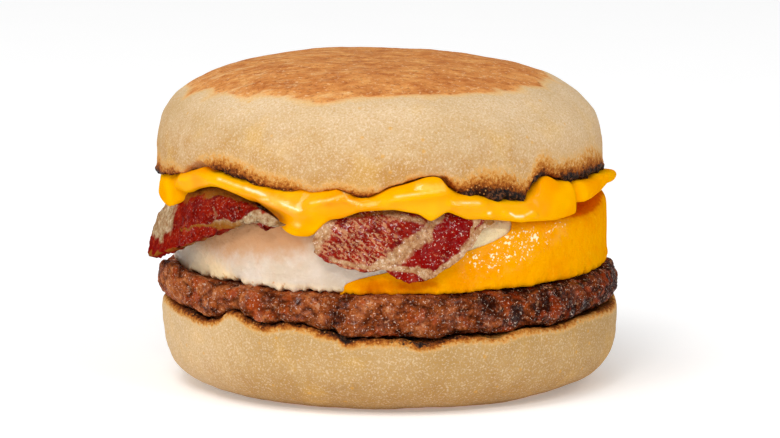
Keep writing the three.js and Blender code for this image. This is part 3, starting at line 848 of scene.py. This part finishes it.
def streaked(points, slope, share, seed):
    """Streaks of fat through the lean, 0 to 1, that slope by an angle on the front."""
    turn = math.radians(slope)
    along = points[:, 0] * math.cos(turn) + points[:, 2] * math.sin(turn)
    beside = points[:, 2] * math.cos(turn) - points[:, 0] * math.sin(turn)
    bent = beside + 0.5 * lumps(points, 4, seed)
    fibres = lumps(np.stack([along / 2.0, bent / 0.55, points[:, 1] / 3], axis=-1), 1, seed, 2)
    return np.clip(share + 0.5 * fibres, 0, 1)


def bacon_finish(piece, name, lean_tones, fat_tones, marbling):
    """Dark lean meat marbled with fat, where the mesh says how fatty each place is, with glints
    painted on its glossy places.
    """
    finish = Finish(name, {"Specular IOR Level": 0.0, "Coat Roughness": 0.12},
                    (0.06, (1.0, 0.3, 0.1), 0.0012))
    gloss = finish.measure("gloss")
    fine = finish.grain(0.6, 3, 0.7, 4.0) * 0.6 + finish.measure("streak") * 0.4
    lean = finish.paint(
        finish.ramp(finish.grain(3.6, 4, 0.7, 1.0), list(zip((0.32, 0.45, 0.58, 0.72), lean_tones))),
        (finish.level(fine, 0.50, 0.63) * 0.7, marbling),
        (finish.flecks(0.50, 0.36, 0.9, 3, 0.7, 9.0) * 0.45, (92, 6, 6)),
        (finish.measure("deep") * 0.65, (138, 4, 10)))
    fat = finish.ramp(finish.grain(1.3, 4, 0.7, 3.0), list(zip((0.34, 0.46, 0.58, 0.70), fat_tones)))
    fatty = finish.measure("fat") + (finish.grain(1.8, 4, 0.7, 2.0) - 0.5) * 0.9
    browned = finish.measure("browned") + (finish.grain(1.5, 3, 0.65, 8.0) - 0.5) * 0.6
    meat = finish.paint(
        lean,
        (finish.level(fatty, 0.34, 0.72) * 0.88, fat),
        # Painted glints: pale flecks on the glossy lean.
        (finish.flecks(0.60, 0.70, 0.55, 2, 0.8, 11.0) * 0.7 * gloss, (250, 224, 206)),
        (finish.level(browned, 0.3, 0.7) * 0.75, (150, 96, 28)))
    rough = finish.level(finish.grain(1.6, 3, 0.6, 5.0), 0.4, 0.62, 0.2, 0.5)
    relief = finish.grain(0.75, 3, 0.72, 6.0) * 0.7 + finish.grain(2.2, 2, 0.5, 7.0) * 0.4
    wet = finish.flecks(0.44, 0.60, 2.0, 4, 0.7, 10.0) * gloss * 0.55
    finish.cover(piece, meat, rough, relief, wet)


left_rasher = rasher(
    "left_rasher", rim=(-76, -38), back=(-114, -157), crest=(45.0, -51, 12, 2.4), shoulder=50.4,
    edge=[(-84, 30, 53.1), (-79, 28.9, 53.2), (-68, 31.2, 52.9), (-57, 34.6, 52.2),
          (-43, 39.2, 51.6), (-34.5, 41.7, 52.0), (-29, 41.2, 52.6), (-25.5, 42.2, 52.7)],
    seed=51)
points = points_of(left_rasher)
bent = (points + 0.7 * lumps(points, 2.6, 58, 2)[:, None] * (0, 0, 1)
        + 0.7 * lumps(points, 3.4, 59, 2)[:, None] * (1, 0, 0))
carry(left_rasher, "fat", drawn(bent, [
    ((-48.4, 43.5), (-50.0, 37.5), 2.4, 1.1), ((-50.0, 37.5), (-51.2, 35.2), 2.0, 1.1),
    ((-38.2, 44.3), (-37.4, 42.2), 0.45, 0.5), ((-37.4, 42.2), (-38.2, 40.6), 0.5, 0.5),
    ((-44, 38.2), (-37.7, 40.7), 0.6, 0.45), ((-37.7, 40.7), (-32.2, 41.6), 0.8, 0.7),
    ((-32.5, 40.6), (-28.9, 43.2), 1.2, 1.2), ((-28.9, 43.2), (-22.8, 42.2), 1.3, 1.2),
]))
carry(left_rasher, "browned", drawn(bent, [
    ((-45.5, 44), (-42.2, 46.4), 1.3), ((-42.2, 46.4), (-36, 47.4), 1.5),
    ((-36, 47.4), (-28, 46), 1.3), ((-37.5, 40.1), (-32.5, 41), 0.9),
    ((-45.5, 37.6), (-37.5, 40.5), 0.45, 0.7), ((-53, 29.5), (-40, 36.5), 0.6, 0.8),
    ((-23.5, 42.4), (-22, 42.4), 0.9),
]))
carry(left_rasher, "streak", streaked(points, 35, 0.36, 57))
carry(left_rasher, "deep", near_line(points, (-52.5, 30), (-44, 33.5), 1.6))
carry(left_rasher, "gloss", 0.4 * facing_gloss(points))
bacon_finish(
    left_rasher, "left_rasher_meat",
    [(88, 8, 4), (122, 16, 6), (146, 28, 10), (166, 58, 28)],
    [(142, 100, 60), (172, 140, 100), (196, 170, 132), (228, 210, 180)], (166, 74, 44))
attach(left_rasher, "root")
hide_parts("bacon_left")

front_rasher = rasher(
    "front_rasher", rim=(-15.5, 22), back=(-164, -201), crest=(44.4, 0, 14, 0.6), shoulder=49.3,
    edge=[(-19, 38, 50.4), (-17.5, 35.2, 50.8), (-12, 33.2, 51.0), (-6, 32.2, 51.0),
          (-1.5, 32.7, 50.8), (3, 30.4, 51.0), (8, 30.3, 51.0), (14, 32.8, 50.8),
          (20, 36.6, 50.3), (22.5, 39.8, 49.9), (26.5, 42, 49.6)],
    seed=61)
points = points_of(front_rasher)
bent = points + 0.8 * lumps(points, 2.6, 68, 2)[:, None] * (1, 0, 0)
fat = drawn(bent, [
    ((10.5, 44), (7.2, 40), 1.4), ((7.2, 40), (0, 34.5), 2.0), ((0, 34.5), (-3, 33), 1.6),
    ((-1, 33.3), (8, 32.3), 0.8), ((18.5, 43), (16.8, 36.4), 0.7),
    ((23, 42), (16.8, 36.4), 2.2, 1.15), ((16.8, 36.4), (8.5, 30.7), 1.0),
    ((8.5, 30.7), (6, 32.6), 1.2), ((-16.6, 37), (-13.5, 42.5), 1.9),
    ((-13, 35), (-4, 33), 0.8, 0.7), ((-1, 44.8), (7, 42.8), 1.1, 0.75),
])
fat = fat * (1 - near_line(bent, (0.6, 31.2), (4.6, 30.9), 1.1))
carry(front_rasher, "fat", fat)
carry(front_rasher, "browned", drawn(bent, [
    ((-19, 38), (-17, 35), 0.8), ((24, 42.3), (21.5, 42.6), 1.0, 1.3),
    ((-9, 43.8), (3, 45), 0.6, 0.6),
]))
carry(front_rasher, "streak", streaked(points, -35, 0.30 + 0.30 * ease(points[:, 0], 4, -2), 67))
carry(front_rasher, "gloss", facing_gloss(points))
carry(front_rasher, "deep", drawn(points, [
    ((6, 34), (12, 44), 3.6), ((14, 43), (15, 38), 3), ((0.6, 31.2), (4.6, 30.9), 1.4),
]))
bacon_finish(
    front_rasher, "front_rasher_meat",
    [(96, 8, 4), (130, 18, 8), (154, 34, 16), (180, 72, 38)],
    [(146, 96, 58), (184, 138, 94), (206, 166, 124), (240, 218, 190)], (214, 154, 108))
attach(front_rasher, "root")
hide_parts("bacon_front")


# Muffin crown: the upper half of the muffin. Its wall rounds over to a flat top that was
# baked on a griddle, and its lower edge hangs in toasted tongues, burnt black on the right.

CROWN_SHIFT = -2.2
CROWN_RADIUS = 49.4
CROWN_UNDER = 49.6
CROWN_WIDEST = 52.0
CROWN_TOP = 72.0
CROWN_DOME = 0.4
CROWN_FLAT_RADIUS = 5.3
CROWN_SQUARENESS = 2.6
CROWN_TILT = 0.01
CROWN_EDGE = [
    (-180, 48.2), (-170, 47.8), (-158, 48.8), (-146, 50.6), (-134, 49.6), (-122, 48.4),
    (-105, 47.4), (-87, 46.5), (-73, 48.1), (-62, 49.3), (-56.5, 51.2), (-54, 52.7), (-51, 52.2),
    (-48, 51.4), (-43, 51.1), (-37.5, 50.3), (-32, 49.3), (-28, 49.0), (-24, 49.0), (-19, 49.3),
    (-15, 48.9), (-10.5, 49.9), (-7.6, 48.7), (-4.3, 47.4), (-1.8, 48.3), (1, 49.7), (6, 50.9),
    (10, 52.2), (14, 52.5), (17, 52.0), (18.5, 49.9), (21, 48.1), (26, 47.7), (31, 46.5),
    (38, 46.0), (41, 47.2), (42, 49.4), (44, 50.7), (49, 50.6), (53, 48.9), (58, 48.8), (66, 48.0),
    (70, 48.7), (88, 47.6), (104, 49.4), (118, 50.3), (130, 48.8), (141, 47.6), (154, 49.2),
    (166, 50.0),
]
CROWN_TOAST = [
    (-84, 10, 0.9), (-68, 6, 0.65), (-44, 7, 0.85), (-34, 7, 0.7), (-24, 6, 0.62), (-12, 5, 0.3),
    (-4.4, 3.5, 0.8), (8, 5, 0.3), (24, 6, 1.1), (35, 7, 1.15), (45, 4, 0.8), (55, 5, 1.0),
    (66, 7, 1.0), (80, 8, 0.95), (97, 10, 0.7), (118, 18, 0.7), (150, 14, 0.8), (178, 16, 0.6),
    (-150, 16, 0.7), (-118, 16, 0.75),
]
LEAST_REACH = 1.5
CROWN_REACH = [
    (-84, 10, 1.2), (-40, 16, 0.9), (31, 9, 2.4), (48, 6, 1.4), (68, 14, 2.4), (140, 20, 1.0),
]
CROWN_GOLDEN = [(-12, 4, 1.6), (5, 6, 0.6)]
CROWN_WARM = (64, 50)
CROWN_PAINTED_LIGHT = (60, 66)
FLOURY_RIGHT = (25, 42)
STREAKY_LEFT = (10, -35)
LIP_RADIUS = 48.2
LIP_TOP = 54
PATCH_MIDDLE = (-2.5, 2.5)
PATCH_RADII = (44.5, 35.5)
CROWN_BURNT = [
    (-88, 8, 0.8), (-46, 6, 0.18), (-30, 8, 0.12), (-4.4, 2, 0.4), (22, 3, 0.45), (33, 6.5, 1.1),
    (43, 2, 0.6), (57, 4, 0.9), (66, 4, 0.7), (76, 5, 1.0), (86, 4, 0.7), (122, 8, 0.5),
    (150, 8, 0.7), (-120, 9, 0.5),
]


def crown_edge(angle):
    return edge_line(angle, CROWN_EDGE)


def crown_profile(angle):
    edge = crown_edge(angle)
    edge = edge + 0.4 * lumps(polar(angle, CROWN_RADIUS, 0), 3.0, 71, 2)
    lower = [
        (0, CROWN_UNDER), (22, CROWN_UNDER), (36, CROWN_UNDER), (43, CROWN_UNDER),
        (45.2, between(CROWN_UNDER, edge, 0.2)), (46.8, between(CROWN_UNDER, edge, 0.75)),
        (48.2, edge - 0.1), (49.1, edge + 0.1), (49.35, edge + 0.8), (49.4, edge + 1.8),
        (49.4, np.maximum(edge + 3.0, 53.0)),
    ]
    shoulder = []
    for turn in (7, 13, 19, 25, 31, 38, 45, 52, 59, 66, 73, 80, 86):
        out = math.cos(math.radians(turn)) ** (2 / CROWN_SQUARENESS)
        rise = math.sin(math.radians(turn)) ** (2 / CROWN_SQUARENESS)
        shoulder.append((between(CROWN_FLAT_RADIUS, CROWN_RADIUS, out),
                         between(CROWN_WIDEST, CROWN_TOP, rise) + CROWN_DOME * (1 - out)))
    return lower + shoulder + [(0, CROWN_TOP + CROWN_DOME)]


crown_counts = [2, 2, 2, 3, 4, 4, 4, 4, 4, 4, 6, 6, 5, 5, 5, 5, 5, 5, 5, 6, 6, 6, 5, 4]
crown = turned("crown", crown_counts, 640, crown_profile)
points = points_of(crown)
angle, radius = plan(points)
x, _, z = points.T
above = np.where((radius > LIP_RADIUS) | (z > LIP_TOP), z - crown_edge(angle), 0)
toasted(crown, above, bumps(angle, CROWN_TOAST), LEAST_REACH + bumps(angle, CROWN_REACH),
        bumps(angle, CROWN_BURNT))
from_middle = np.hypot(*(points[:, :2] - PATCH_MIDDLE).T)
from_middle = from_middle + 2.6 * lumps(points * (0.6, 1, 1), 8, 72, 2)
carry(crown, "griddle", ease(from_middle, *PATCH_RADII) * ease(z, 58, 61))
carry(crown, "warmth", ease(z, *CROWN_WARM) * 0.8)
# The pale band on the shoulder below the griddled top is painted light from above; towards the right
# it pales with flour.
carry(crown, "flour_and_painted_light", np.maximum(ease(z, *CROWN_PAINTED_LIGHT), 0.8 * ease(x, *FLOURY_RIGHT)))
carry(crown, "streaky", ease(x, *STREAKY_LEFT))
carry(crown, "golden", bumps(angle, CROWN_GOLDEN) * ease(z, 55, 50))
points = points_of(crown)
points[:, 2] -= CROWN_TILT * points[:, 0] * ease(points[:, 2], CROWN_UNDER, CROWN_WIDEST)
points[:, 0] += CROWN_SHIFT
put(crown, points)
muffin_finish(crown, "muffin_crown_dough", (208, 177, 136), (195, 159, 109), (185, 136, 74))
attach(crown, "root")
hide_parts("muffin_crown")


# Cheese: two square slices of processed cheese that melted between the hot layers. Where a
# slice reaches past the layer below, its edge has run down over it and set as a thick soft
# curtain with folds. The lower slice shows as a corner on each side.

CHEESE_HALF = 1.1
CHEESE_CURL = 1.9
CHEESE_TUCKED = 42.4
LOWER_MIDDLE = RASHER_LEVEL + RASHER_HALF + 0.3 + CHEESE_HALF
UPPER_REACH = [(-66, 54.2, 0.6, 8.8), (34, 57, 6, -1.0), (124, 160, 7, 7.2), (-146, -112, 7, 7.0)]
UPPER_EDGE = [
    (-180, 46), (-140, 42.6), (-128, 41.8), (-115, 43), (-90, 44), (-66, 45.6), (-62, 45.2),
    (-59, 45.6), (-55, 46.9), (-50, 47.9), (-46, 48.1), (-43, 47.6), (-40, 46.9), (-35, 45.6),
    (-31, 43.4), (-28.5, 41.9), (-26.3, 39.9), (-24, 39.2), (-20, 39.2), (-18, 40.2),
    (-16.2, 42.2), (-14.5, 43.2), (-12, 43.4), (-7, 45.1), (1, 45.5), (7, 44.5), (10, 42.7),
    (14, 44.9), (19, 43.0), (27, 42.4), (34, 41.5), (40, 41.1), (46, 40.8), (50, 41.0), (54, 41.4),
    (56, 42.6), (100, 46), (130, 42.6), (142, 41.8), (155, 43),
]
LOWER_REACH = [(-104, -62, 4, 8.5), (56, 90, 3, 7.8), (156, 186, 8, 6.6)]
LOWER_EDGE = [
    (-140, 44.6), (-100, 43.4), (-90, 43.0), (-82, 41.8), (-76, 40.6), (-71, 40.6), (-65, 42.6),
    (-50, 44.6), (40, 43.0), (57, 43.4), (62, 43.8), (68, 44.9), (75, 46.4), (85, 47.2), (100, 46),
    (150, 43.6), (170, 42.8),
]
LOWER_SHOWS = [(-104, -62, 5, 1), (54, 92, 5, 1)]
CHEESE_WET = [((-44, 49), (-20, 45), 3), ((-20, 47), (32, 45), 3)]
SLICE_COUNTS = [2, 2, 2, 3, 3] + [4] * 7 + [2] * 6 + [4] * 7 + [3, 3, 2, 2, 2]


def stretches(angle, listed):
    """Sum of the (from, to, softness, amount) stretches that cover an angle."""
    return sum(amount * (1 - ease(np.abs(apart(angle, (start + end) / 2)),
                                  (end - start) / 2 - soft, (end - start) / 2 + soft))
               for start, end, soft, amount in listed)


def crown_underside(points):
    """The lowest that the underside of the crown comes near places in plan."""
    angle, radius = plan(points[:, :2] - (CROWN_SHIFT, 0))
    edge = np.minimum.reduce([crown_edge(angle + aside) for aside in (-1.5, 0, 1.5)])
    tilt = CROWN_TILT * (points[:, 0] - CROWN_SHIFT)
    return between(CROWN_UNDER, edge, ease(radius, 44.5, 48.0)) - tilt


def upper_level(points):
    """Where the middle of the upper slice lies, pressed into the underside of the crown."""
    return crown_underside(points) + 0.3 - CHEESE_HALF


def lower_level(points):
    """Where the middle of the lower slice lies: it rises to the crown where it shows."""
    angle, radius = plan(points)
    rise = np.maximum(crown_underside(points) + 0.2 - CHEESE_HALF - LOWER_MIDDLE, 0)
    return LOWER_MIDDLE + rise * stretches(angle, LOWER_SHOWS) * ease(radius, 43, 46)


def slice_profile(angle, level, reach, edge):
    """A slice that lies flat, and curls down over the rim to a rounded edge."""
    edge_radius = CHEESE_TUCKED + stretches(angle, reach) - CHEESE_HALF
    start = edge_radius - CHEESE_CURL
    start_height = np.minimum(level(polar(angle, start, 0)), level(polar(angle, edge_radius, 0)))
    end_height = np.minimum(edge_line(angle, edge) + CHEESE_HALF, start_height)
    steep = ease(start_height - end_height, 0, CHEESE_CURL)
    under, over = [], []
    for share in (0, 0.4, 0.7, 0.88, 0.95, 1):
        spot = polar(angle, share * start, 0)
        height = start_height if share == 1 else level(spot)
        under.append((share * start, height - CHEESE_HALF))
        over.append((share * start, height + CHEESE_HALF))
    for turn in (20, 36, 50, 62, 73, 82, 90):
        bend = math.radians(turn)
        radius = between(start, edge_radius, math.sin(bend))
        height = between(end_height, start_height, math.cos(bend) ** 0.6)
        lean = bend * steep
        for side, sign in ((under, -1), (over, 1)):
            side.append((radius + sign * CHEESE_HALF * np.sin(lean),
                         height + sign * CHEESE_HALF * np.cos(lean)))
    lean = math.pi / 2 * steep
    cap = []
    for turn in np.radians([30, 60, 90, 120, 150]):
        out = math.sin(turn) * np.cos(lean) - math.cos(turn) * np.sin(lean)
        down = math.sin(turn) * np.sin(lean) + math.cos(turn) * np.cos(lean)
        cap.append((edge_radius + CHEESE_HALF * out, end_height - CHEESE_HALF * down))
    return under + cap + over[::-1]


def melted(piece, folds, gloss_and_highlight_lines, seed):
    """Press folds into a slice, each (start, end, half-width, depth) on its front, and store
    where fat has come out along its ridges: glossy there, with highlights painted pale."""
    points = points_of(piece)
    radius = plan(points)[1]
    outward = sum(near_line(points, *fold) for fold in folds)
    outward = outward + 0.3 * lumps(points, 7, seed) + 0.1 * lumps(points, 3, seed + 1)
    hanging = ease(radius, 43, 47)
    points[:, :2] *= ((radius + outward * hanging) / np.maximum(radius, 1e-6))[:, None]
    put(piece, points)
    carry(piece, "gloss_and_painted_highlight", drawn(points, gloss_and_highlight_lines))
    wet = sum(near_line(points, *line) for line in CHEESE_WET)
    carry(piece, "wet", np.clip(0.03 + 0.2 * ease(points[:, 1], -10, 20) + 0.24 * wet, 0, 1))


def cheese_finish(piece, name):
    """Smooth orange-yellow processed cheese, wet where its fat has come out, with highlights painted
    pale along its ridges and shade painted dark orange in its hollow.
    """
    finish = Finish(name, {"Specular IOR Level": 0.0, "Coat Roughness": 0.08, "Coat IOR": 1.5},
                    (0.15, (1.0, 0.5, 0.02), 0.0015))
    fatty = finish.measure("gloss_and_painted_highlight") + (finish.grain(1.4, 3, 0.6, 4.0) - 0.5) * 0.7
    yellow = finish.paint(
        (252, 178, 0),
        (finish.flecks(0.3, 0.7, 9, 2, 0.5, 1.0), (244, 154, 0)),
        # Painted shade, dark orange, in the hollow beside the bacon.
        (finish.measure("painted_hollow_shade") * 0.75, (208, 100, 6)),
        # Painted highlights: pale yellow and near white along the ridges, where the coat also
        # shines.
        (finish.level(fatty, 0.2, 0.7) * 0.35, (255, 224, 110)),
        (finish.level(fatty, 0.7, 1.05) * 0.6, (255, 248, 214)))
    wet = finish.level(finish.measure("gloss_and_painted_highlight") + finish.measure("wet"), 0.0, 0.8)
    finish.cover(piece, yellow, 0.3, finish.grain(3.0, 2, 0.5, 3.0) * 0.1, wet)


upper_slice = turned("upper_slice", SLICE_COUNTS, 720, lambda angle: slice_profile(
    angle, upper_level, UPPER_REACH, UPPER_EDGE))
melted(upper_slice, [
    ((-46.5, 46), (-44.3, 48.6), 1.0, 0.9), ((-44.3, 48.6), (-41, 50.8), 1.0, 0.8),
    ((-38, 49.4), (-27.5, 47.1), 1.1, 1.0), ((-26.5, 46.5), (-18, 44.3), 1.7, 1.0),
    ((-28.5, 45), (-24.5, 42.8), 1.3, -1.7), ((-19.4, 42.0), (-19, 41.0), 2.0, 0.9),
    ((-17, 46), (-12.8, 47.4), 0.9, 0.7), ((-12.8, 47.4), (-8.6, 48), 0.9, 0.7),
    ((-9.4, 47.8), (-6, 45.9), 0.8, 0.6), ((-6, 45.9), (-2.6, 46.6), 0.8, 0.6),
    ((0, 47.6), (12, 49.0), 1.0, 0.9), ((13, 46.2), (20, 46), 1.0, 0.7),
    ((20.5, 43.7), (21.5, 43.6), 0.9, 0.6), ((25, 43.4), (27.8, 42.2), 0.8, 0.7),
    ((27.8, 42.2), (31, 42.7), 0.8, 0.7), ((22, 46.8), (31, 45), 1.2, -0.5),
], [
    # The lines of painted highlight, where the coat is glossy too.
    ((-37, 50.1), (-31, 48.8), 0.4, 0.85), ((-31, 48.8), (-26.7, 47.8), 0.5, 1.1),
    ((-26.7, 47.4), (-20, 45.4), 1.2, 0.62), ((-23, 46.2), (-19.5, 45.2), 0.5, 1.0),
    ((-17, 46.7), (-8.5, 48.8), 0.3, 0.85), ((-10.6, 50), (-8.9, 47.7), 0.3, 0.9),
    ((-8.9, 47.7), (-6, 46.7), 0.3, 0.95), ((-6, 46.7), (-3.2, 47.2), 0.3, 0.8),
    ((1.1, 48.5), (6, 49.1), 0.35, 0.9), ((6, 49.1), (11.7, 49.8), 0.3, 0.8),
    ((6, 50.4), (11, 50.2), 1.1, 0.6), ((13.8, 46.9), (19.2, 46.6), 0.35, 0.85),
    ((21.1, 44.3), (21.4, 44.3), 0.4, 1.2), ((25.7, 43.9), (26.9, 43.1), 0.3, 1.1),
    ((26.9, 43.1), (28.6, 43.0), 0.35, 1.15), ((28.6, 43.0), (30.5, 43.6), 0.3, 0.95),
    ((-19.9, 42.0), (-19.6, 42.0), 0.6, 0.85),
], 81)
# Painted shade: a dark orange hollow in the cheese beside the tip of the left rasher.
painted_hollow_shade = near_line(points_of(upper_slice), (-28.5, 45.3), (-24, 42.6), 1.5)
carry(upper_slice, "painted_hollow_shade", painted_hollow_shade)
cheese_finish(upper_slice, "melted_upper_slice")
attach(upper_slice, "root")
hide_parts("cheese_upper")

lower_slice = turned("lower_slice", SLICE_COUNTS, 720, lambda angle: slice_profile(
    angle, lower_level, LOWER_REACH, LOWER_EDGE))
melted(lower_slice, [((-50.5, 42), (-49, 46), 1.6, 0.8), ((44, 48), (49, 50), 1.2, 0.5)],
       # A short painted highlight on the corner of the lower slice.
       [((42.5, 48.5), (43.2, 48.8), 0.4, 1.1)], 83)
cheese_finish(lower_slice, "melted_lower_slice")
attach(lower_slice, "root")
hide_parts("cheese_lower")
